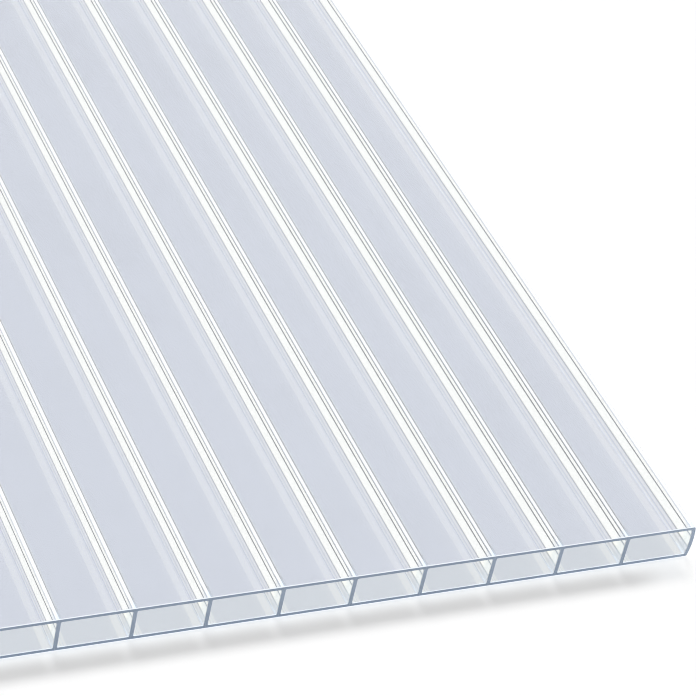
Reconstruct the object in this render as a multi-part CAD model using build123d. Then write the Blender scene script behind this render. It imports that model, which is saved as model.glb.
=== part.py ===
"""Clear twin-wall polycarbonate sheet, 16 mm thick, as one length of extruded stock.

Two flat skins are joined by upright webs into a row of long open chambers. The section is the same
over the whole length, because the sheet leaves its die in one piece: it is drawn once, edge to edge,
and pushed along the chambers. The long edges are closed by a wall that swells gently outwards, and
the two ends are sawn square, so every chamber is open at both of them.

The frame is in millimetres. X runs across the chambers, Y along them and Z upwards. The origin is at
the middle of the underside.
"""

from build123d import *
import os

# Overall size
SHEET_LENGTH = 2000.0
SHEET_THICKNESS = 16.0

# Chambers: their number, and the distance from the middle of one web to the middle of the next
CHAMBER_COUNT = 32
CHAMBER_PITCH = 30.52

# Walls
TOP_SKIN = 1.35
BOTTOM_SKIN = 1.35
WEB_WALL = 1.6
EDGE_WALL = 1.6

# How far the wall of a long edge stands out at mid height, beyond the edges of the skins
EDGE_SWELL = 0.95

# Radii: where webs and skins run into each other, and on the long outer corners
JUNCTION_RADIUS = 0.5
OUTER_CORNER_RADIUS = 0.6


def upright_side(x, low, high, swell):
    """One side of a closed outline: a straight line, or an arc that stands out by swell at its middle."""
    bottom = (x, low)
    top = (x, high)
    if swell == 0:
        Line(bottom, top)
    else:
        ThreePointArc(bottom, (x + swell, (low + high) / 2), top)


def outline(left, right, low, high, left_swell, right_swell, radius):
    """A face between two upright sides and two level ones, with its four corners rounded."""
    with BuildSketch(Plane.XZ) as face:
        with BuildLine():
            Line((left, low), (right, low))
            Line((left, high), (right, high))
            upright_side(left, low, high, -left_swell)
            upright_side(right, low, high, right_swell)
        make_face()
        fillet(face.vertices(), radius)
    return face.sketch


def chamber(number):
    """The opening of one chamber, counted from 0 at the left edge. The outermost two follow the edge's swell."""
    at_left_edge = number == 0
    at_right_edge = number == CHAMBER_COUNT - 1
    first_wall = CHAMBER_PITCH * (number - CHAMBER_COUNT / 2)
    second_wall = first_wall + CHAMBER_PITCH
    left_wall = EDGE_WALL if at_left_edge else WEB_WALL
    right_wall = EDGE_WALL if at_right_edge else WEB_WALL
    return outline(
        left=first_wall + left_wall / 2,
        right=second_wall - right_wall / 2,
        low=BOTTOM_SKIN,
        high=SHEET_THICKNESS - TOP_SKIN,
        left_swell=EDGE_SWELL if at_left_edge else 0,
        right_swell=EDGE_SWELL if at_right_edge else 0,
        radius=JUNCTION_RADIUS,
    )


def section():
    """The sheet's section: its outer outline less the chambers."""
    half_width = (CHAMBER_COUNT * CHAMBER_PITCH + EDGE_WALL) / 2
    body = outline(
        left=-half_width,
        right=half_width,
        low=0,
        high=SHEET_THICKNESS,
        left_swell=EDGE_SWELL,
        right_swell=EDGE_SWELL,
        radius=OUTER_CORNER_RADIUS,
    )
    return body - [chamber(number) for number in range(CHAMBER_COUNT)]


def twinwall_sheet():
    """The whole sheet: the section carried along Y, half of the length each way from the origin."""
    return extrude(section(), amount=SHEET_LENGTH / 2, both=True)


os.makedirs("parts", exist_ok=True)
export_step(twinwall_sheet(), "parts/twinwall_sheet.step")
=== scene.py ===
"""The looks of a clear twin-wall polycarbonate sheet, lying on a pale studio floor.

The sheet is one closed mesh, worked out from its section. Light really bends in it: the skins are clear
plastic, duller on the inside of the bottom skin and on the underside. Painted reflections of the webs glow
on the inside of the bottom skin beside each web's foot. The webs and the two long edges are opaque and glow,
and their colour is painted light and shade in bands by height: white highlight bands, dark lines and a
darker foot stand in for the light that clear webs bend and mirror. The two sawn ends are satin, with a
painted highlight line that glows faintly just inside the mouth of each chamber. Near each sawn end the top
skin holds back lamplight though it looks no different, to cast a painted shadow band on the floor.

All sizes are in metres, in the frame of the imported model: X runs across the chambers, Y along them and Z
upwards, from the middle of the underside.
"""

import logging
import math
from dataclasses import dataclass, field
from enum import Enum
from typing import Optional, Union

import bpy
import numpy as np
from mathutils import Matrix, Vector


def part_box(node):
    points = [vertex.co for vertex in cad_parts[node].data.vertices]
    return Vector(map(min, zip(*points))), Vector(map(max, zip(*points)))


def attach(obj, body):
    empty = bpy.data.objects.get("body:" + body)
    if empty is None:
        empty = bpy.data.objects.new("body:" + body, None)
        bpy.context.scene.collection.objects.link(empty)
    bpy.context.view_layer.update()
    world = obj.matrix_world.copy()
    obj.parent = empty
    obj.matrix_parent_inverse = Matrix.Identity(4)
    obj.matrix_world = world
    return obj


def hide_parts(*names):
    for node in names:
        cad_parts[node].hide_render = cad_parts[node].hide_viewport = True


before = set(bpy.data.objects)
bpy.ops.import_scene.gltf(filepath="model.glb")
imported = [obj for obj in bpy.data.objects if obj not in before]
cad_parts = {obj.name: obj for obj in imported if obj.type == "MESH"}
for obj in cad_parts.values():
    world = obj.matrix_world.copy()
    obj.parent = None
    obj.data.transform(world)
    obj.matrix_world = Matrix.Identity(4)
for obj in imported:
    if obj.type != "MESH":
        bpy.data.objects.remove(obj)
log = logging.getLogger("twinwall_sheet")

MM = 0.001
NODE = "twinwall_sheet"
BODY = "root"

# The mesh attribute that tells how deep in its wall a point of a sawn end lies
DEPTH_ATTRIBUTE = "depth_in_wall"

# Places nearer than the first count as the same, and points that round to the same second step are merged
NEAR = 0.0001 * MM
MERGE_STEP = 0.001 * MM

# The mean height of the directions above a level surface, each weighted by the light that it gives there
MEAN_HEIGHT = 2 / 3

Colour = tuple[float, float, float]
Span = tuple[float, float]
Node = bpy.types.Node
Socket = bpy.types.NodeSocket
Sockets = bpy.types.bpy_prop_collection
Group = bpy.types.ShaderNodeTree
Value = Union[Socket, float, tuple[float, ...]]


class Finish(Enum):
    """The finishes of the sheet, in the order of its material slots."""

    SKIN = 0
    BED = 1
    UNDERSIDE = 2
    WEB = 3
    SAWN = 4
    RIM = 5


class Blend(Enum):
    """What a Mix node blends: its data type, and the numbers of its two inputs and of its output."""

    NUMBERS = ("FLOAT", 2, 3, 0)
    COLOURS = ("RGBA", 6, 7, 2)


class Stretch(Enum):
    """The stretches of the ring of points round a chamber, in order: four corners and two upright sides."""

    LOW_LEFT = 0
    LOW_RIGHT = 1
    RIGHT = 2
    HIGH_RIGHT = 3
    HIGH_LEFT = 4
    LEFT = 5


def rgba(colour: Colour) -> tuple[float, float, float, float]:
    """A colour with full opacity added."""
    return (*colour, 1.0)


def direction(bearing: float, height: float) -> Vector:
    """The direction of a bearing and a height.

    Formula in words: the height's cosine is shared out between X and Y by the bearing's sine and cosine, and
    the height's sine goes to Z.

    Args:
        bearing: The angle from Y towards X, in degrees.
        height: The angle above the level, in degrees.

    Returns:
        The unit vector.
    """
    turn, lift = math.radians(bearing), math.radians(height)
    return Vector((math.sin(turn) * math.cos(lift), math.cos(turn) * math.cos(lift), math.sin(lift)))


def new_object(name: str, data: bpy.types.ID) -> bpy.types.Object:
    """Makes an object in the scene.

    Args:
        name: The object's name.
        data: Its mesh, lamp or camera.

    Returns:
        The object, at the origin.
    """
    made = bpy.data.objects.new(name, data)
    bpy.context.scene.collection.objects.link(made)
    return made


class Wiring:
    """Short calls for the nodes and links of one node tree."""

    def __init__(self, tree: bpy.types.NodeTree) -> None:
        """Keeps the tree that the calls add to."""
        self.tree = tree

    def link(self, source: Socket, target: Socket) -> None:
        """Joins an output to an input."""
        self.tree.links.new(source, target)

    def feed(self, target: Socket, value: Value) -> None:
        """Gives an input its value.

        Args:
            target: The input.
            value: The output to link to it, or the number or colour to set.
        """
        if isinstance(value, Socket):
            self.link(value, target)
        else:
            target.default_value = value

    def node(self, kind: str, *values: Value, **settings: object) -> Node:
        """Adds a node.

        Args:
            kind: Blender's name for the node type.
            values: What its first inputs are fed, in order.
            settings: Attributes to set on it, such as operation.

        Returns:
            The new node.
        """
        made = self.tree.nodes.new(kind)
        for name, setting in settings.items():
            setattr(made, name, setting)
        for target, value in zip(made.inputs, values):
            self.feed(target, value)
        return made

    def object_place(self) -> Socket:
        """The place of a point in the object's own coordinates."""
        return self.node("ShaderNodeTexCoord").outputs["Object"]

    def axes(self, place: Socket) -> Sockets:
        """The outputs X, Y and Z of a place."""
        return self.node("ShaderNodeSeparateXYZ", place).outputs

    def maths(self, operation: str, *values: Value, clamp: bool = False) -> Socket:
        """Adds a Math node.

        Args:
            operation: Its operation, such as ADD.
            values: What its inputs are fed.
            clamp: Whether the result is kept between 0 and 1.

        Returns:
            The result's output.
        """
        return self.node("ShaderNodeMath", *values, operation=operation, use_clamp=clamp).outputs[0]

    def ramp(self, value: Socket, low: float, high: float, start: float = 0.0, end: float = 1.0) -> Socket:
        """Takes a value from one span to another with a smooth step.

        Args:
            value: The value.
            low: Where the step starts.
            high: Where the step ends.
            start: The result up to the step.
            end: The result past the step.

        Returns:
            The result's output.
        """
        made = self.node("ShaderNodeMapRange", value, low, high, start, end, interpolation_type="SMOOTHSTEP")
        return made.outputs[0]

    def mix(self, share: Value, first: Value, second: Value, blend: Blend = Blend.COLOURS) -> Socket:
        """Blends two colours or two numbers.

        Args:
            share: How much of the second one shows, from 0 to 1.
            first: The first one.
            second: The second one.
            blend: What is blended.

        Returns:
            The blend's output.
        """
        kind, one, other, result = blend.value
        made = self.node("ShaderNodeMix", data_type=kind)
        self.feed(made.inputs["Factor"], share)
        self.feed(made.inputs[one], first)
        self.feed(made.inputs[other], second)
        return made.outputs[result]

    def choose(self, share: Socket, first: Socket, second: Socket) -> Socket:
        """Goes from a first shader, at a share of 0, to a second one, at 1, and returns the output."""
        return self.node("ShaderNodeMixShader", share, first, second).outputs[0]

    def noise(self, place: Socket, scale: Value, detail: float, roughness: float = 0.5) -> Socket:
        """Adds a Noise Texture node.

        Args:
            place: Where the noise is read.
            scale: How many patches there are to a metre.
            detail: How many finer layers lie on the first.
            roughness: How strong the finer layers are.

        Returns:
            The output of the noise, from 0 to 1.
        """
        made = self.node("ShaderNodeTexNoise")
        given = {"Vector": place, "Scale": scale, "Detail": detail, "Roughness": roughness}
        for name, value in given.items():
            self.feed(made.inputs[name], value)
        return made.outputs["Fac"]

    def group(self, tree: Group, **values: Value) -> Sockets:
        """Places a node group.

        Args:
            tree: The group.
            values: What each input is fed that isn't left at its default, by name.

        Returns:
            The group's outputs.
        """
        made = self.node("ShaderNodeGroup")
        made.node_tree = tree
        for name, value in values.items():
            self.feed(made.inputs[name], value)
        return made.outputs


class Surface(Wiring):
    """The node tree of a new material with one Principled shader."""

    def __init__(self, name: str) -> None:
        """Makes the material.

        Args:
            name: The material's name.
        """
        self.material = bpy.data.materials.new(name)
        self.material.use_nodes = True
        super().__init__(self.material.node_tree)
        self.shader = self.tree.nodes["Principled BSDF"]
        self.output = self.tree.nodes["Material Output"]

    def dress(self, values: dict[str, Value]) -> None:
        """Feeds inputs of the Principled shader.

        Args:
            values: What each input is fed, by its name.
        """
        for name, value in values.items():
            self.feed(self.shader.inputs[name], value)

    def let_lamps_through(self, shade: Value) -> None:
        """Lets lamplight pass: a ray towards a lamp meets a tinted clear pane instead of the shader.

        Args:
            shade: The share of the light that each crossing leaves, as a colour.
        """
        towards_lamp = self.node("ShaderNodeLightPath").outputs["Is Shadow Ray"]
        pane = self.node("ShaderNodeBsdfTransparent", shade).outputs[0]
        self.link(self.choose(towards_lamp, self.shader.outputs[0], pane), self.output.inputs["Surface"])


def new_group(
    name: str, inputs: dict[str, float], outputs: tuple[str, ...]
) -> tuple[Group, Wiring, Sockets, Sockets]:
    """Makes an empty shader node group.

    Args:
        name: The group's name.
        inputs: Each input's name with its default value.
        outputs: The outputs' names.

    Returns:
        The group, its wiring, and the sockets inside it of its inputs and of its outputs.
    """
    tree = bpy.data.node_groups.new(name, "ShaderNodeTree")
    for label, value in inputs.items():
        socket = tree.interface.new_socket(label, in_out="INPUT", socket_type="NodeSocketFloat")
        socket.default_value = value
    for label in outputs:
        tree.interface.new_socket(label, in_out="OUTPUT", socket_type="NodeSocketFloat")
    given = tree.nodes.new("NodeGroupInput").outputs
    result = tree.nodes.new("NodeGroupOutput").inputs
    return tree, Wiring(tree), given, result


def die_lines_group() -> Group:
    """Fine lines that the die leaves along the sheet.

    Formula in words: noise read at the object coordinates, with the lengthwise one shrunk so far that the
    noise only changes across the sheet and with the height. A second, much broader noise lets the lines come
    and go.

    Returns:
        The group, with the input Lines (how many to a metre) and the outputs Height and Tone.
    """
    lengthwise = 0.0012
    tree, wiring, given, result = new_group("die_lines", {"Lines": 900.0}, ("Height", "Tone"))
    place = wiring.object_place()
    stretched = wiring.node("ShaderNodeMapping", place)
    stretched.inputs["Scale"].default_value = (1.0, lengthwise, 1.0)
    fine = wiring.noise(stretched.outputs[0], given["Lines"], detail=2.0)
    broad = wiring.noise(place, scale=6.0, detail=1.0)
    strength = wiring.ramp(broad, low=0.35, high=0.7, start=0.3, end=1.0)
    wiring.link(wiring.maths("MULTIPLY", fine, strength), result["Height"])
    wiring.link(fine, result["Tone"])
    return tree


def haze_group() -> Group:
    """Cloudy patches, for the small changes of shine and tone that handled plastic has.

    Formula in words: noise less its mean, times the contrast, plus the mean again.

    Returns:
        The group, with the inputs Size (patches to a metre) and Contrast and the output Cloud, from 0 to 1.
    """
    mean = 0.5
    tree, wiring, given, result = new_group("haze", {"Size": 9.0, "Contrast": 1.0}, ("Cloud",))
    noise = wiring.noise(wiring.object_place(), given["Size"], detail=5.0, roughness=0.6)
    spread = wiring.maths("MULTIPLY", wiring.maths("SUBTRACT", noise, mean), given["Contrast"])
    wiring.link(wiring.maths("ADD", spread, mean, clamp=True), result["Cloud"])
    return tree


# The painted reflections of the webs on the bottom skin, pale bands that also lift the shade beside each
# foot: places from the reach left of a web (0) to the reach right of it (1), and how pale each is
PAINTED_REFLECTION_BANDS = (
    (0.06, 0.0), (0.08, 0.46), (0.32, 0.46), (0.34, 0.02), (0.62, 0.02), (0.63, 1.0), (0.70, 1.0),
    (0.715, 0.05), (0.745, 0.05), (0.76, 0.8), (0.795, 0.8), (0.81, 0.05), (0.83, 0.05), (0.845, 0.5),
    (0.92, 0.5), (0.94, 0.0),
)


def painted_web_reflections_group() -> Group:
    """Painted reflections of the webs: pale bands along the skin on both sides of each web's foot, which also
    lift the shade there.

    Formula in words: the place across the sheet, less that of the nearest web, is the same for each web, as
    the webs stand a pitch apart, from half a pitch on for an odd number of chambers. Shared out over the
    reach on both sides it runs from 0 to 1, and a curve of straight pieces gives how pale the skin is there.

    Returns:
        The group, with the inputs Pitch, Reach and Offset in metres and the output Pale, from 0 to 1.
    """
    sizes = {"Pitch": 30.0 * MM, "Reach": 6.0 * MM, "Offset": 0.0}
    tree, wiring, given, result = new_group("painted_web_reflections", sizes, ("Pale",))
    across = wiring.maths("ADD", wiring.axes(wiring.object_place())["X"], given["Offset"])
    high = wiring.maths("MULTIPLY", given["Pitch"], 0.5)
    low = wiring.maths("MULTIPLY", given["Pitch"], -0.5)
    from_web = wiring.maths("WRAP", across, high, low)
    half_share = wiring.maths("DIVIDE", from_web, wiring.maths("MULTIPLY", given["Reach"], 2.0))
    curve = wiring.node("ShaderNodeFloatCurve")
    wiring.link(wiring.maths("ADD", half_share, 0.5, clamp=True), curve.inputs["Value"])
    points = curve.mapping.curves[0].points
    points[0].location, points[1].location = (0.0, 0.0), (1.0, 0.0)
    for at, pale in PAINTED_REFLECTION_BANDS:
        points.new(at, pale)
    for point in points:
        point.handle_type = "VECTOR"
    curve.mapping.update()
    wiring.link(curve.outputs[0], result["Pale"])
    return tree


@dataclass(frozen=True)
class Haze:
    """Cloudy patches in a finish: how many to a metre, and their contrast."""

    size: float
    contrast: float


@dataclass(frozen=True)
class Relief:
    """Fine lines in a finish: how many to a metre, how much they tilt the surface and how deep they are."""

    lines: float
    strength: float
    depth: float


@dataclass(frozen=True)
class Effects:
    """The node groups that the finishes share, and the calls that place them."""

    die_lines: Group
    haze: Group
    painted_web_reflections: Group

    def cloud(self, surface: Surface, haze: Haze) -> Socket:
        """Places a haze in a material and returns the output of its patches."""
        return surface.group(self.haze, Size=haze.size, Contrast=haze.contrast)["Cloud"]

    def engrave(self, surface: Surface, relief: Relief) -> Socket:
        """Puts fine lines on a material.

        Args:
            surface: The material's tree.
            relief: The lines.

        Returns:
            The output of the lines' tone, for a finish that shows it.
        """
        lines = surface.group(self.die_lines, Lines=relief.lines)
        bump = surface.node("ShaderNodeBump")
        given = {"Strength": relief.strength, "Distance": relief.depth, "Height": lines["Height"]}
        for name, value in given.items():
            surface.feed(bump.inputs[name], value)
        surface.dress({"Normal": bump.outputs[0]})
        return lines["Tone"]


@dataclass(frozen=True)
class CutZone:
    """The stretch beside each sawn end where painted shade is made: the top skin holds back lamplight there
    for a painted shadow on the floor, and the webs' painted light is dimmed.

    Its reach is how far in from the end it starts, and over its fade it grows to its full share.
    """

    reach: float
    fade: float
    full: float = 1.0

    def share(self, surface: Surface, along: Socket, length: float) -> Socket:
        """How far into the stretch a point lies, as the share of painted shade there.

        Args:
            surface: The material's tree.
            along: The point's place along the sheet.
            length: The sheet's length.

        Returns:
            The output of the share, from 0 to the full one.
        """
        start = length / 2 - self.reach
        return surface.ramp(surface.maths("ABSOLUTE", along), start, start + self.fade, 0.0, self.full)


@dataclass(frozen=True)
class ClearSkin:
    """Clear, glossy polycarbonate: light bends in it and takes on a faint blue.

    In the cut zone the top skin holds back lamplight only, though it looks no different: a hidden shadow
    caster for the painted shadow band on the floor in front of each sawn end. The band fades towards the long
    edges, from the first to the second given distance inside them, down to the given share of it.
    """

    width: float
    length: float
    thickness: float
    name: str = "clear_polycarbonate_skin"
    refraction: float = 1.585
    tint: Colour = (0.926, 0.931, 0.986)
    mirror: Colour = (1.0, 1.0, 1.0)
    shade: Colour = (0.955, 0.977, 0.997)
    cut: CutZone = CutZone(reach=9.4 * MM, fade=1.6 * MM)
    # painted shadow: the lamplight that the strip of the top skin near each sawn end lets through
    shadow_strip_shade: Colour = (0.375, 0.375, 0.38)
    shadow_strip_fade_from: float = 30.0 * MM
    shadow_strip_fade_to: float = 6.0 * MM
    shadow_strip_edge_share: float = 0.25
    smooth: float = 0.0
    hazy: float = 0.008
    haze: Haze = Haze(size=14.0, contrast=1.4)
    haze_span: Span = (0.35, 0.85)
    relief: Relief = Relief(lines=260.0, strength=0.0015, depth=0.2 * MM)

    def passed_light(self, surface: Surface) -> Socket:
        """How much lamplight passes: less through the top skin near each sawn end, to cast the painted shadow
        band.

        Args:
            surface: The material's tree.

        Returns:
            The output of the share that passes, as a colour.
        """
        place = surface.axes(surface.object_place())
        near_cut = self.cut.share(surface, place["Y"], self.length)
        on_top = surface.maths("GREATER_THAN", place["Z"], self.thickness / 2)
        edge = self.width / 2
        across = surface.maths("ABSOLUTE", place["X"])
        kept = surface.ramp(across, edge - self.shadow_strip_fade_from, edge - self.shadow_strip_fade_to, 1.0, self.shadow_strip_edge_share)
        # painted shadow: the strip of the top skin near each sawn end holds back lamplight, fading towards
        # the long edges
        shadow_strip = surface.maths("MULTIPLY", surface.maths("MULTIPLY", near_cut, on_top), kept)
        return surface.mix(shadow_strip, rgba(self.shade), rgba(self.shadow_strip_shade))

    def add_pattern(self, surface: Surface, effects: Effects) -> None:
        """Plain skin has no pattern of its own."""

    def build(self, effects: Effects) -> bpy.types.Material:
        """Builds the material.

        Args:
            effects: The shared node groups.

        Returns:
            The material.
        """
        surface = Surface(self.name)
        cloud = effects.cloud(surface, self.haze)
        surface.dress({
            "Base Color": rgba(self.tint),
            "Transmission Weight": 1.0,
            "IOR": self.refraction,
            "Specular Tint": rgba(self.mirror),
            "Roughness": surface.ramp(cloud, *self.haze_span, self.smooth, self.hazy),
        })
        self.add_pattern(surface, effects)
        effects.engrave(surface, self.relief)
        surface.let_lamps_through(self.passed_light(surface))
        return surface.material


@dataclass(frozen=True)
class BedWithPaintedReflections(ClearSkin):
    """The inside of the bottom skin: clear too, but duller, with painted reflections of the webs glowing
    beside their feet.
    """

    name: str = "clear_polycarbonate_bed"
    tint: Colour = (0.948, 0.972, 1.0)
    mirror: Colour = (0.1, 0.1, 0.1)
    smooth: float = 0.20
    hazy: float = 0.26
    pitch: float = 30.0 * MM
    offset: float = 0.0
    reflection_reach: float = 5.6 * MM
    # painted reflection: the glow colour of the webs' mirrored bands beside each foot
    reflection_glow: Colour = (0.90, 0.86, 0.62)
    reflection_glow_level: float = 0.20

    def add_pattern(self, surface: Surface, effects: Effects) -> None:
        """Adds the painted reflections of the webs, as a faint glow.

        Args:
            surface: The material's tree.
            effects: The shared node groups.
        """
        sizes = {"Pitch": self.pitch, "Reach": self.reflection_reach, "Offset": self.offset}
        pale = surface.group(effects.painted_web_reflections, **sizes)["Pale"]
        glow = surface.mix(pale, rgba((0.0, 0.0, 0.0)), rgba(self.reflection_glow))
        surface.dress({"Emission Color": glow, "Emission Strength": self.reflection_glow_level})


@dataclass(frozen=True)
class Underside(ClearSkin):
    """The underside: clear, but duller where it rests on the floor, so it mirrors the webs very little."""

    name: str = "clear_polycarbonate_underside"
    tint: Colour = (0.958, 0.966, 1.0)
    mirror: Colour = (0.1, 0.1, 0.1)
    smooth: float = 0.20
    hazy: float = 0.26


class WebTone(Enum):
    """The tones of the webs: painted light and shade, with white highlight bands, dark and grey lines and a
    darker foot.
    """

    LINE = (0.17, 0.175, 0.175)
    GREY = (0.41, 0.425, 0.43)
    FOOT = (0.33, 0.35, 0.375)
    CELL = (0.505, 0.525, 0.55)
    PALE = (0.67, 0.69, 0.715)
    WHITE = (0.924, 0.932, 0.865)
    INNER = (0.55, 0.555, 0.555)
    CORNER = (0.49, 0.51, 0.53)


Tones = tuple[tuple[float, WebTone], ...]


@dataclass(frozen=True)
class WebWithPaintedLight:
    """The upright walls: opaque and glowing, with fine die lines in their relief, and with painted light and
    shade
    in bands along them: white highlight bands, dark lines and a darker foot stand in for the light that clear
    webs bend and mirror.

    Each tone goes with a share of the web's height, from the bottom skin to the top skin. The faces towards
    the chambers have their own tones, and so has what shows of the web inside the plastic.
    """

    length: float
    low: float
    high: float
    cut: CutZone = CutZone(reach=8.0 * MM, fade=5.0 * MM, full=0.48)
    # painted shade: near each sawn end the webs' painted light is dimmed towards this grey blue
    painted_shade_near_cut: Colour = (0.50, 0.56, 0.62)
    shade: Colour = (1.0, 1.0, 1.0)
    # painted light: the webs glow, though they are no lamp
    glow: float = 0.87
    shine: float = 0.45
    dullest: float = 0.60
    sheen: float = 0.2
    haze: Haze = Haze(size=30.0, contrast=0.5)
    haze_span: Span = (0.2, 0.8)
    dust: Colour = (0.70, 0.74, 0.80)
    dust_share: float = 0.06
    dust_span: Span = (0.3, 0.8)
    relief: Relief = Relief(lines=1500.0, strength=0.15, depth=0.1 * MM)
    # painted light and shade by height: on the faces towards the chambers, then on what shows inside the
    # plastic
    face_tones: Tones = (
        (0.0, WebTone.FOOT), (0.038, WebTone.PALE), (0.07, WebTone.PALE), (0.085, WebTone.CELL),
        (0.135, WebTone.CELL), (0.15, WebTone.PALE), (0.25, WebTone.PALE), (0.265, WebTone.GREY),
        (0.32, WebTone.GREY), (0.335, WebTone.WHITE), (0.70, WebTone.WHITE), (0.705, WebTone.LINE),
        (0.765, WebTone.LINE), (0.77, WebTone.WHITE), (0.90, WebTone.WHITE), (0.905, WebTone.LINE),
    )
    inner_tones: Tones = (
        (0.0, WebTone.CELL), (0.3, WebTone.INNER), (0.875, WebTone.INNER), (0.88, WebTone.LINE),
        (0.955, WebTone.LINE), (0.965, WebTone.CORNER),
    )

    @staticmethod
    def tone(surface: Surface, share: Socket, tones: Tones) -> Socket:
        """The web's colour at a share of its height.

        Args:
            surface: The material's tree.
            share: The share of the web's height that a point lies at.
            tones: The shares of the height, each with its tone.

        Returns:
            The colour's output.
        """
        made = surface.node("ShaderNodeValToRGB", share)
        stops = made.color_ramp.elements
        stops[0].position, stops[1].position = tones[0][0], tones[-1][0]
        for at, _ in tones[1:-1]:
            stops.new(at)
        for stop, (_, tone) in zip(stops, tones):
            stop.color = rgba(tone.value)
        return made.outputs["Color"]

    def colour(self, surface: Surface, cloud: Socket) -> Socket:
        """The web's colour all over: its painted light and shade by height, dimmed by painted shade beside
        the cut, and a little dusty in patches.

        Args:
            surface: The material's tree.
            cloud: The output of the haze's patches.

        Returns:
            The colour's output.
        """
        place = surface.axes(surface.object_place())
        height = surface.maths("SUBTRACT", place["Z"], self.low)
        share = surface.maths("DIVIDE", height, self.high - self.low)
        face = self.tone(surface, share, self.face_tones)
        inner = self.tone(surface, share, self.inner_tones)
        within = surface.node("ShaderNodeNewGeometry").outputs["Backfacing"]
        clean = surface.mix(within, face, inner)
        near_cut = self.cut.share(surface, place["Y"], self.length)
        # painted shade near each sawn end
        dimmed_web_colour = surface.mix(near_cut, clean, rgba(self.painted_shade_near_cut))
        dusty = surface.ramp(cloud, *self.dust_span, 0.0, self.dust_share)
        return surface.mix(dusty, dimmed_web_colour, rgba(self.dust))

    def build(self, effects: Effects) -> bpy.types.Material:
        """Builds the material.

        Args:
            effects: The shared node groups.

        Returns:
            The material.
        """
        surface = Surface("web_painted_light")
        cloud = effects.cloud(surface, self.haze)
        colour = self.colour(surface, cloud)
        surface.dress({
            "Base Color": colour,
            "Emission Color": colour,
            "Emission Strength": self.glow,
            "Roughness": surface.ramp(cloud, *self.haze_span, self.shine, self.dullest),
            "Specular IOR Level": self.sheen,
        })
        effects.engrave(surface, self.relief)
        surface.let_lamps_through(rgba(self.shade))
        return surface.material


@dataclass(frozen=True)
class SawnEnd:
    """The sawn ends: satin blue grey, darker towards the middle of each skin, with the saw's fine marks."""

    rim: Colour = (0.50, 0.61, 0.77)
    core: Colour = (0.405, 0.505, 0.665)
    core_depth: float = 0.45
    mark_tone: float = 0.8
    shade: Colour = (0.86, 0.865, 0.87)
    shine: float = 0.35
    dullest: float = 0.60
    haze: Haze = Haze(size=60.0, contrast=1.2)
    haze_span: Span = (0.2, 0.8)
    relief: Relief = Relief(lines=700.0, strength=0.4, depth=0.05 * MM)

    def build(self, effects: Effects) -> bpy.types.Material:
        """Builds the material.

        Args:
            effects: The shared node groups.

        Returns:
            The material.
        """
        surface = Surface("sawn_end")
        marks = surface.maths("SUBTRACT", effects.engrave(surface, self.relief), 0.5)
        depth = surface.node("ShaderNodeAttribute", attribute_name=DEPTH_ATTRIBUTE).outputs["Fac"]
        core = surface.ramp(depth, 0.0, self.core_depth)
        tone = surface.maths("MULTIPLY_ADD", marks, self.mark_tone, core, clamp=True)
        cloud = effects.cloud(surface, self.haze)
        surface.dress({
            "Base Color": surface.mix(tone, rgba(self.rim), rgba(self.core)),
            "Roughness": surface.ramp(cloud, *self.haze_span, self.shine, self.dullest),
        })
        surface.let_lamps_through(rgba(self.shade))
        return surface.material


@dataclass(frozen=True)
class PaleRim:
    """A narrow painted highlight line, glowing faintly, just inside the mouth of each chamber."""

    white: Colour = (0.90, 0.93, 0.97)
    bluish: Colour = (0.78, 0.84, 0.92)
    # painted highlight: the line glows, though it is no lamp
    glow: float = 0.18
    shade: Colour = (0.90, 0.905, 0.91)
    shine: float = 0.45
    haze: Haze = Haze(size=120.0, contrast=1.5)

    def build(self, effects: Effects) -> bpy.types.Material:
        """Builds the material.

        Args:
            effects: The shared node groups.

        Returns:
            The material.
        """
        surface = Surface("pale_rim")
        colour = surface.mix(effects.cloud(surface, self.haze), rgba(self.white), rgba(self.bluish))
        surface.dress({
            "Base Color": colour,
            "Emission Color": colour,
            "Emission Strength": self.glow,
            "Roughness": self.shine,
        })
        surface.let_lamps_through(rgba(self.shade))
        return surface.material


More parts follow.
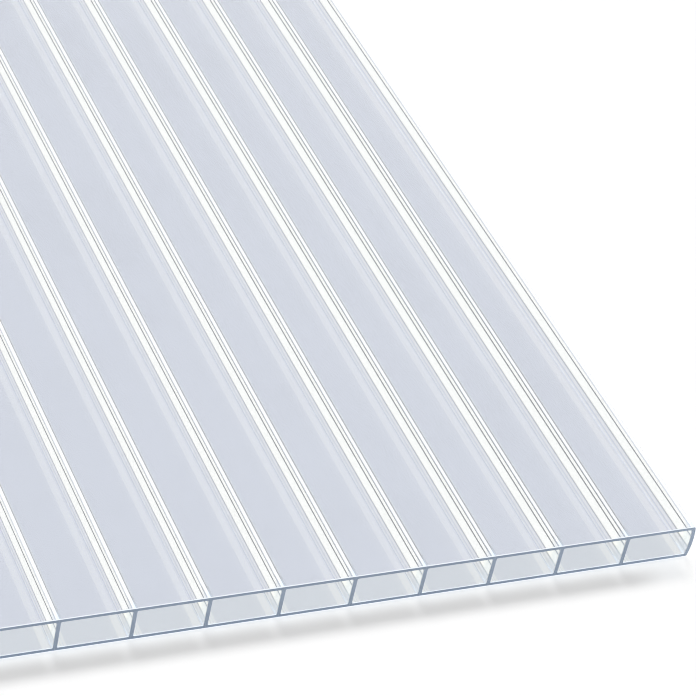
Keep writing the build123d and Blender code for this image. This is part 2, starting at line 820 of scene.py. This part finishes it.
@dataclass
class QuadGrids:
    """Grids of quads, closed round their rings, that together make one mesh."""

    places: list[np.ndarray] = field(default_factory=list)
    quads: list[np.ndarray] = field(default_factory=list)
    finishes: list[np.ndarray] = field(default_factory=list)
    depths: list[np.ndarray] = field(default_factory=list)

    def add(
        self,
        grid: np.ndarray,
        keep: np.ndarray,
        finish: np.ndarray,
        flip: bool,
        deep: Optional[np.ndarray] = None,
    ) -> None:
        """Adds the quads between the rows of a grid.

        Args:
            grid: The points (row, chamber, point, xyz).
            keep: Which quads are wanted (row, chamber, point).
            finish: The quads' finishes, in the same order.
            flip: Whether the quads face the other way.
            deep: How deep in its wall each point lies, for a sawn end.
        """
        start = sum(len(points) for points in self.places)
        index = start + np.arange(grid[..., 0].size).reshape(grid.shape[:-1])
        turned = np.roll(index, -1, axis=2)
        faces = np.stack([index[:-1], turned[:-1], turned[1:], index[1:]], -1)
        if flip:
            faces = faces[..., ::-1]
        chosen = np.broadcast_to(keep, faces.shape[:-1])
        self.places.append(grid.reshape(-1, 3))
        self.quads.append(faces[chosen])
        self.finishes.append(np.broadcast_to(finish, faces.shape[:-1])[chosen])
        self.depths.append(np.zeros(index.size) if deep is None else deep.ravel())

    def welded(self, name: str) -> bpy.types.Mesh:
        """Merges points that lie in the same place and makes the mesh.

        Args:
            name: The mesh's name.

        Returns:
            The mesh, with its finishes and the depth of each point in its wall, from 0 at its face.
        """
        places, quads = np.concatenate(self.places), np.concatenate(self.quads)
        steps = np.round(places / MERGE_STEP).astype(np.int64)
        _, first, same = np.unique(steps, axis=0, return_index=True, return_inverse=True)
        same = same.reshape(-1)
        deepest = np.zeros(len(first))
        np.maximum.at(deepest, same, np.concatenate(self.depths))
        mesh = bpy.data.meshes.new(name)
        mesh.from_pydata(places[first], [], same[quads].tolist())
        mesh.polygons.foreach_set("material_index", np.concatenate(self.finishes).astype(np.int32))
        depth = mesh.attributes.new(DEPTH_ATTRIBUTE, "FLOAT", "POINT")
        depth.data.foreach_set("value", deepest.astype(np.float32))
        mesh.update()
        return mesh


@dataclass
class SectionMesh:
    """The sheet's section as rings of points round each chamber, and the mesh carried along them.

    Every chamber has an inner ring, on its wall, and an outer one, on the sheet's outside and on the middle
    lines of the webs. Both start at the lower left corner and have the same number of points: a quarter
    circle at each corner, and some points up each side.
    """

    length: float
    thickness: float
    swell: float
    chambers: int = 32
    pitch: float = 30.52 * MM
    top_skin: float = 1.35 * MM
    bottom_skin: float = 1.35 * MM
    web: float = 1.6 * MM
    edge: float = 1.6 * MM
    junction: float = 0.5 * MM
    corner: float = 0.6 * MM
    rim: float = 0.45 * MM
    corner_steps: int = 6
    side_steps: int = 12
    cap_steps: int = 4
    web_depth: float = 0.12

    @property
    def half_width(self) -> float:
        """How far the middle lines of the two edge walls stand from the middle of the sheet."""
        return self.chambers * self.pitch / 2

    @property
    def left_lines(self) -> np.ndarray:
        """The middle line of the wall to the left of each chamber."""
        return self.pitch * (np.arange(self.chambers) - self.chambers / 2)

    @property
    def half_walls(self) -> tuple[np.ndarray, np.ndarray]:
        """How thick half of each wall is.

        Returns:
            Half of the wall to the left of each chamber, and half of that to its right.
        """
        number = np.arange(self.chambers)
        left = np.where(number == 0, self.edge, self.web) / 2
        return left, np.where(number == self.chambers - 1, self.edge, self.web) / 2

    def stretches(self) -> dict[Stretch, slice]:
        """Where each stretch of a ring lies among its points.

        Returns:
            The points of each stretch.
        """
        upright = (Stretch.RIGHT, Stretch.LEFT)
        counts = [self.side_steps if stretch in upright else self.corner_steps + 1 for stretch in Stretch]
        ends = np.cumsum(counts)
        return {stretch: slice(end - count, end) for stretch, count, end in zip(Stretch, counts, ends)}

    def corner_points(self, x: np.ndarray, z: float, first_angle: float, radius: float) -> np.ndarray:
        """Points of a quarter circle for each chamber.

        Args:
            x: The circles' middles across the sheet, one for each chamber.
            z: The circles' middle height.
            first_angle: The angle of the first point, in radians.
            radius: The circles' radius.

        Returns:
            The points (chamber, point, x and z).
        """
        angle = first_angle + np.linspace(0.0, math.pi / 2, self.corner_steps + 1)
        across = x[:, None] + radius * np.cos(angle)
        return np.stack(np.broadcast_arrays(across, z + radius * np.sin(angle)), -1)

    def swelled(self, ring: np.ndarray, side: np.ndarray) -> np.ndarray:
        """Moves the points of the long edges outwards along the edge's arc.

        Formula in words: the arc through the two skins' edges and the swell at mid height has the radius
        (half the height squared plus the swell squared) over twice the swell. A point at a height goes out by
        the arc's own distance there.

        Args:
            ring: The points (chamber, point, x and z).
            side: -1 for a point of the left edge, 1 for one of the right edge, 0 elsewhere.

        Returns:
            The moved points.
        """
        half = self.thickness / 2
        radius = (half**2 + self.swell**2) / (2 * self.swell)
        out = np.sqrt(radius**2 - (ring[..., 1] - half) ** 2) - (radius - self.swell)
        return np.stack([ring[..., 0] + side * out, ring[..., 1]], -1)

    def edge_side(self) -> np.ndarray:
        """Which long edge each point of the rings lies on.

        Returns:
            -1 for the left edge, 1 for the right one and 0 elsewhere (chamber, point).
        """
        where = self.stretches()
        half = self.corner_steps // 2
        side = np.zeros((self.chambers, where[Stretch.LEFT].stop))
        side[-1, where[Stretch.LOW_RIGHT].start + half : where[Stretch.HIGH_RIGHT].start + half + 1] = 1.0
        side[0, where[Stretch.HIGH_LEFT].start + half :] = -1.0
        side[0, : half + 1] = -1.0
        return side

    def rings(self) -> tuple[np.ndarray, np.ndarray]:
        """The rings of all chambers.

        Returns:
            The inner and the outer rings (chamber, point, x and z).
        """
        half_left, half_right = self.half_walls
        left = self.left_lines + half_left
        right = self.left_lines + self.pitch - half_right
        low, high = self.bottom_skin, self.thickness - self.top_skin
        radius, turn = self.junction, math.pi / 2
        rise = np.linspace(low + radius, high - radius, self.side_steps + 2)[1:-1]
        inner = np.concatenate([
            self.corner_points(left + radius, low + radius, 2 * turn, radius),
            self.corner_points(right - radius, low + radius, 3 * turn, radius),
            np.stack(np.broadcast_arrays(right[:, None], rise), -1),
            self.corner_points(right - radius, high - radius, 0.0, radius),
            self.corner_points(left + radius, high - radius, turn, radius),
            np.stack(np.broadcast_arrays(left[:, None], rise[::-1]), -1),
        ], 1)
        side = self.edge_side()
        return self.swelled(inner, side), self.swelled(self.outer_rings(inner), side)

    def outer_rings(self, inner: np.ndarray) -> np.ndarray:
        """The outer rings that go with the inner ones.

        Formula in words: half of each corner's points keep their height and go sideways to the web's middle
        line, the other half keep their place across and go up or down to the skin's outer face, and the
        middle point goes to where the two meet. At a long edge the corner's points lie on the outer corner's
        own arc instead.

        Args:
            inner: The inner rings, before the edges' swell.

        Returns:
            The outer rings, before the edges' swell.
        """
        outer = inner.copy()
        where = self.stretches()
        number = np.arange(self.chambers)
        far_left = np.where(number == 0, self.left_lines - self.edge / 2, self.left_lines)
        right_lines = self.left_lines + self.pitch
        far_right = np.where(number == self.chambers - 1, right_lines + self.edge / 2, right_lines)
        outer[:, where[Stretch.LEFT], 0] = far_left[:, None]
        outer[:, where[Stretch.RIGHT], 0] = far_right[:, None]
        step, middle = np.arange(self.corner_steps + 1), self.corner_steps // 2
        before, after = step <= middle, step >= middle
        plan = (
            (Stretch.LOW_LEFT, far_left, 0.0, before, after),
            (Stretch.LOW_RIGHT, far_right, 0.0, after, before),
            (Stretch.HIGH_RIGHT, far_right, self.thickness, before, after),
            (Stretch.HIGH_LEFT, far_left, self.thickness, after, before),
        )
        for stretch, line, face, sideways, level in plan:
            points = outer[:, where[stretch]]
            points[:, sideways, 0] = line[:, None]
            points[:, level, 1] = face
        radius, turn = self.corner, math.pi / 2
        rounded = (
            (Stretch.LOW_LEFT, 0, far_left + radius, radius, 2 * turn),
            (Stretch.LOW_RIGHT, -1, far_right - radius, radius, 3 * turn),
            (Stretch.HIGH_RIGHT, -1, far_right - radius, self.thickness - radius, 0.0),
            (Stretch.HIGH_LEFT, 0, far_left + radius, self.thickness - radius, turn),
        )
        for stretch, chamber, x, z, angle in rounded:
            outer[chamber, where[stretch]] = self.corner_points(x, z, angle, radius)[chamber]
        return outer

    def wall_finish(self) -> np.ndarray:
        """The finish of the chamber wall after each point of a ring.

        Returns:
            Web, also at the rounded corners, bed on top of the bottom skin and skin under the top one.
        """
        where = self.stretches()
        finish = np.full(where[Stretch.LEFT].stop, Finish.WEB.value)
        finish[where[Stretch.LOW_LEFT].stop - 1] = Finish.BED.value
        finish[where[Stretch.HIGH_RIGHT].stop - 1] = Finish.SKIN.value
        return finish

    def outside_finish(self, middle: np.ndarray) -> np.ndarray:
        """The finish of the stretches of the outer rings.

        Args:
            middle: The middle of each stretch (chamber, point, x and z).

        Returns:
            Web on a long edge's swelled face between its corners, underside on the flat below, or skin.
        """
        x, z = np.abs(middle[..., 0]), middle[..., 1]
        between = (z > self.corner) & (z < self.thickness - self.corner)
        on_long_edge = between & (x > self.half_width + self.edge / 4)
        flat = np.where(z < NEAR, Finish.UNDERSIDE.value, Finish.SKIN.value)
        return np.where(on_long_edge, Finish.WEB.value, flat)

    def on_outside(self, middle: np.ndarray) -> np.ndarray:
        """Whether the stretches of the outer rings lie on the sheet's outside, not on a web's middle line.

        Args:
            middle: The middle of each stretch (chamber, point, x and z).

        Returns:
            True or false for each stretch.
        """
        x, z = np.abs(middle[..., 0]), middle[..., 1]
        return (z < NEAR) | (z > self.thickness - NEAR) | (x > self.half_width + NEAR)

    def depth_in_wall(self, inner: np.ndarray, outer: np.ndarray, shares: np.ndarray) -> np.ndarray:
        """How deep in its wall each point of a sawn end lies.

        Formula in words: in a skin, where the way from the inner to the outer ring is steeper than level, the
        depth grows from 0 at both faces to 1 in the middle. In a web it is a small share of the way.

        Args:
            inner: The inner rings.
            outer: The outer rings.
            shares: The share of the way that each row of the end lies at.

        Returns:
            The depths (row, chamber, point).
        """
        way = np.abs(outer - inner)
        in_skin = way[..., 1:] > way[..., :1]
        return np.where(in_skin, 1 - np.abs(shares * 2 - 1), shares * self.web_depth)[..., 0]

    @staticmethod
    def between_rims(finish: np.ndarray) -> np.ndarray:
        """Rows of finishes from one end of the sheet to the other: rim, the given finish and rim again."""
        rim = np.full_like(finish, Finish.RIM.value)
        return np.stack([rim, finish, rim])

    @staticmethod
    def along(rings: np.ndarray, stations: list[float]) -> np.ndarray:
        """Places rings at stations along the sheet.

        Args:
            rings: The points' x and z, in any number of rows.
            stations: The stations' y.

        Returns:
            The points' x, y and z, with the station as the first axis.
        """
        y = np.reshape(stations, (-1, *([1] * (rings.ndim - 1))))
        return np.stack(np.broadcast_arrays(rings[..., 0], y, rings[..., 1]), -1)

    def build(self, name: str) -> bpy.types.Mesh:
        """Carries the rings along the sheet and closes both ends.

        Formula in words: the walls are quads between one station along the sheet and the next, and each end
        is a grid between the inner and the outer ring. Like points are then merged, so the mesh is closed.

        Args:
            name: The mesh's name.

        Returns:
            The closed mesh, with its finishes and the depth of each end's points in the wall.
        """
        inner, outer = self.rings()
        half = self.length / 2
        stations = [-half, -half + self.rim, half - self.rim, half]
        shares = np.linspace(0.0, 1.0, self.cap_steps + 1)[:, None, None, None]
        front, back = self.along(inner * (1 - shares) + outer * shares, [-half, half])
        depth = self.depth_in_wall(inner, outer, shares)
        middle = (outer + np.roll(outer, -1, axis=1)) / 2
        inside = self.between_rims(self.wall_finish())[:, None]
        outside = self.between_rims(self.outside_finish(middle))
        everywhere, sawn = np.array(True), np.array(Finish.SAWN.value)
        grids = QuadGrids()
        grids.add(self.along(inner, stations), everywhere, inside, flip=False)
        grids.add(self.along(outer, stations), self.on_outside(middle), outside, flip=True)
        grids.add(front, everywhere, sawn, flip=True, deep=depth)
        grids.add(back, everywhere, sawn, flip=False, deep=depth)
        return grids.welded(name)


@dataclass
class TwinWallSheet:
    """The whole sheet, as one piece."""

    section: SectionMesh
    effects: Effects

    def dress(self, mesh: bpy.types.Mesh) -> None:
        """Builds the finishes into the mesh's slots, in their order.

        Args:
            mesh: The sheet's mesh.
        """
        section = self.section
        size = (section.chambers * section.pitch, section.length, section.thickness)
        offset = section.pitch * (section.chambers % 2) / 2
        web_top = section.thickness - section.top_skin
        finishes = {
            Finish.SKIN: ClearSkin(*size),
            Finish.BED: BedWithPaintedReflections(*size, pitch=section.pitch, offset=offset),
            Finish.UNDERSIDE: Underside(*size),
            Finish.WEB: WebWithPaintedLight(section.length, section.bottom_skin, web_top),
            Finish.SAWN: SawnEnd(),
            Finish.RIM: PaleRim(),
        }
        for finish in Finish:
            mesh.materials.append(finishes[finish].build(self.effects))

    def build(self) -> bpy.types.Object:
        """Builds and dresses the sheet, and puts it in the place of its CAD node.

        Returns:
            The sheet's object.
        """
        mesh = self.section.build("sheet")
        sheet = new_object("clear_twinwall_sheet", mesh)
        self.dress(mesh)
        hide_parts(NODE)
        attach(sheet, BODY)
        return sheet


@dataclass(frozen=True)
class Studio:
    """The plain pale floor, the soft light and the camera.

    Angles are in degrees. Bearings are counted from the sheet's length, and the camera stands at its offset
    from the near right corner of the sheet.
    """

    corner: Vector
    floor_half: float = 60.0
    floor_gap: float = 0.15 * MM
    floor_albedo: float = 0.80
    floor_share: float = 0.65
    floor_white: float = 1.01
    level_light: float = 0.25
    overhead_light: float = 0.45
    sun_level: float = 2.5
    sun_height: float = 48.6
    sun_bearing: float = 18.0
    sun_softness: float = 15.0
    bearing: float = 30.265
    dip: float = 37.151
    roll: float = 13.06
    focal: float = 152.22
    sensor: float = 36.0
    nearest: float = 0.01
    farthest: float = 200.0
    sharpness: float = 1.1
    camera_offset: tuple[float, float, float] = (-0.6079, -0.7337, 0.7781)
    plastic_crossings: int = 24
    lamp_crossings: int = 64
    mirrorings: int = 12

    @staticmethod
    def seen(wiring: Wiring) -> Socket:
        """Tells what is seen from light on a surface.

        Args:
            wiring: The wiring of the material's or the world's tree.

        Returns:
            The output of 1 for what is seen, also mirrored or through the clear plastic, and of 0 for light.
        """
        path = wiring.node("ShaderNodeLightPath").outputs
        direct = wiring.maths("MAXIMUM", path["Is Camera Ray"], path["Is Glossy Ray"])
        looked_at = wiring.maths("MAXIMUM", direct, path["Is Transmission Ray"])
        return wiring.maths("SUBTRACT", looked_at, path["Diffuse Depth"], clamp=True)

    def floor(self) -> bpy.types.Object:
        """The floor: white where nothing shades it, and shaded softly by the sheet.

        Formula in words: the light on the open floor is the lamp's level times the sine of its height over
        pi, plus the surround's light at the mean height. Where the floor is seen, it gives back a share of
        that light, and a glow makes up what is missing from white.

        Returns:
            The floor's object.
        """
        half, z = self.floor_half, -self.floor_gap
        mesh = bpy.data.meshes.new("floor")
        corners = [(-half, -half, z), (half, -half, z), (half, half, z), (-half, half, z)]
        mesh.from_pydata(corners, [], [(0, 1, 2, 3)])
        floor = new_object("floor", mesh)
        surface = Surface("pale_floor")
        surface.tree.nodes.remove(surface.shader)
        plain = surface.node("ShaderNodeBsdfDiffuse", rgba((self.floor_albedo,) * 3)).outputs[0]
        shaded = surface.node("ShaderNodeBsdfDiffuse", rgba((self.floor_share,) * 3)).outputs[0]
        lit = self.sun_level * math.sin(math.radians(self.sun_height)) / math.pi
        lit += self.level_light + (self.overhead_light - self.level_light) * MEAN_HEIGHT
        glow = surface.node("ShaderNodeEmission")
        glow.inputs["Strength"].default_value = self.floor_white - self.floor_share * lit
        white = surface.node("ShaderNodeAddShader", shaded, glow.outputs[0]).outputs[0]
        surface.link(surface.choose(self.seen(surface), plain, white), surface.output.inputs["Surface"])
        mesh.materials.append(surface.material)
        return floor

    def world(self) -> None:
        """A surround that is seen as an even white, and that gives softer light, most of it from above."""
        world = bpy.data.worlds.new("studio")
        bpy.context.scene.world = world
        world.use_nodes = True
        wiring = Wiring(world.node_tree)
        height = wiring.axes(wiring.node("ShaderNodeTexCoord").outputs["Generated"])["Z"]
        given = wiring.node("ShaderNodeMapRange", height, 0.0, 1.0, self.level_light, self.overhead_light)
        strength = wiring.mix(self.seen(wiring), given.outputs[0], 1.0, Blend.NUMBERS)
        background = world.node_tree.nodes["Background"]
        background.inputs["Color"].default_value = rgba((1.0, 1.0, 1.0))
        wiring.link(strength, background.inputs["Strength"])

    def sun(self) -> bpy.types.Object:
        """A soft lamp from behind, so that the sheet's shade falls to its front. Its own disc isn't mirrored.

        Returns:
            The lamp's object.
        """
        data = bpy.data.lights.new("soft_lamp", "SUN")
        data.energy = self.sun_level
        data.angle = math.radians(self.sun_softness)
        lamp = new_object("soft_lamp", data)
        towards = direction(self.sun_bearing, self.sun_height)
        lamp.rotation_euler = towards.to_track_quat("Z", "Y").to_euler()
        lamp.visible_glossy = False
        lamp.visible_transmission = False
        return lamp

    def camera(self) -> bpy.types.Object:
        """The camera, placed from the sheet's near right corner.

        Returns:
            The camera's object.
        """
        data = bpy.data.cameras.new("camera")
        data.sensor_width = self.sensor
        data.lens = self.focal
        data.clip_start, data.clip_end = self.nearest, self.farthest
        camera = new_object("camera", data)
        ahead = direction(self.bearing, -self.dip)
        level = ahead.cross(Vector((0, 0, 1))).normalized()
        up = level.cross(ahead)
        roll = math.radians(self.roll)
        right = level * math.cos(roll) + up * math.sin(roll)
        pose = Matrix((right, right.cross(ahead), -ahead)).transposed().to_4x4()
        pose.translation = self.corner + Vector(self.camera_offset)
        camera.matrix_world = pose
        bpy.context.scene.camera = camera
        return camera

    def build(self) -> None:
        """Builds the floor, the light and the camera, and sets how far the render follows light."""
        self.camera()
        self.floor()
        self.world()
        self.sun()
        scene = bpy.context.scene
        scene.view_settings.view_transform = "Standard"
        scene.cycles.max_bounces = self.plastic_crossings
        scene.cycles.transmission_bounces = self.plastic_crossings
        scene.cycles.transparent_max_bounces = self.lamp_crossings
        scene.cycles.glossy_bounces = self.mirrorings
        scene.cycles.filter_width = self.sharpness
        scene.cycles.caustics_refractive = False
        scene.cycles.caustics_reflective = False


def section_in_frame() -> SectionMesh:
    """The section, with its outer sizes taken from the frame.

    Formula in words: the swell of a long edge is half of what the CAD's width has over that of the chambers
    and one edge wall.

    Returns:
        The section.
    """
    low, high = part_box(NODE)
    section = SectionMesh(length=high.y - low.y, thickness=high.z - low.z, swell=1.0)
    section.swell = (high.x - low.x - section.chambers * section.pitch - section.edge) / 2
    return section


def main() -> None:
    """Builds the sheet and the studio."""
    logging.basicConfig(level=logging.INFO, format="%(name)s: %(message)s")
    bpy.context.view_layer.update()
    section = section_in_frame()
    sheet = TwinWallSheet(section, Effects(die_lines_group(), haze_group(), painted_web_reflections_group())).build()
    log.info("%s: %d faces, swell %.2f mm", sheet.name, len(sheet.data.polygons), section.swell / MM)
    near_right = Vector((section.half_width, -section.length / 2, 0.0))
    Studio(near_right).build()


if __name__ == "__main__":
    main()
